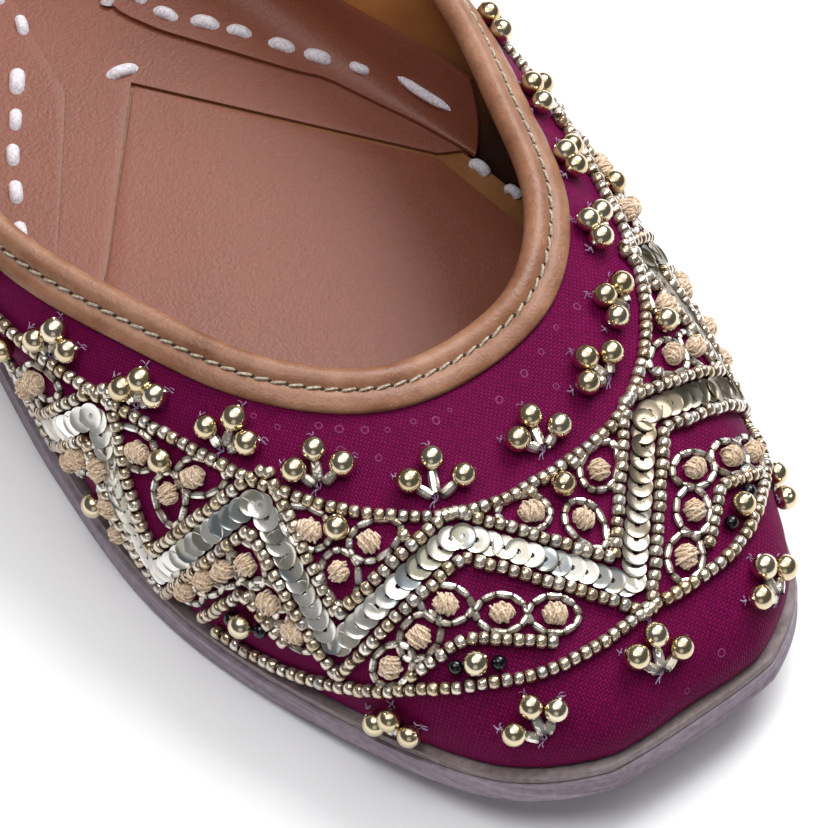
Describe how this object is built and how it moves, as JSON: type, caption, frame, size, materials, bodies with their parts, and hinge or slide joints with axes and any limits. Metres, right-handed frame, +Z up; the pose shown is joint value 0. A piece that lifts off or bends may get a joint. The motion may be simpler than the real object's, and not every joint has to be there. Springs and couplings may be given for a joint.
{
  "type": "mojari shoe",
  "caption": "Flat hand-made slip-on mojari with a squared toe, open topline with a leather binding, hollow beaded upper, insole and stitched leather sole.",
  "frame": {"origin": "floor level, at the centre of the shoe's bounding box", "axes": "+Z up, heel towards +Y, toe towards -Y, the wearer's left side towards +X"},
  "size_m": [0.085, 0.2499, 0.0534],
  "materials": {
    "outsole_leather": "stacked, buffed mauve-grey edge",
    "raw_leather": "raw cut edge",
    "insole_leather": "smooth, finely wrinkled",
    "upper_fabric": "plain-woven silk-like plum cloth over leather",
    "binding_leather": "soft satin"
  },
  "bodies": {
    "root": {"outsole": "outsole_leather", "midsole": "raw_leather", "insole": "insole_leather", "upper": "upper_fabric", "topline_binding": "binding_leather"}
  },
  "joints": []
}
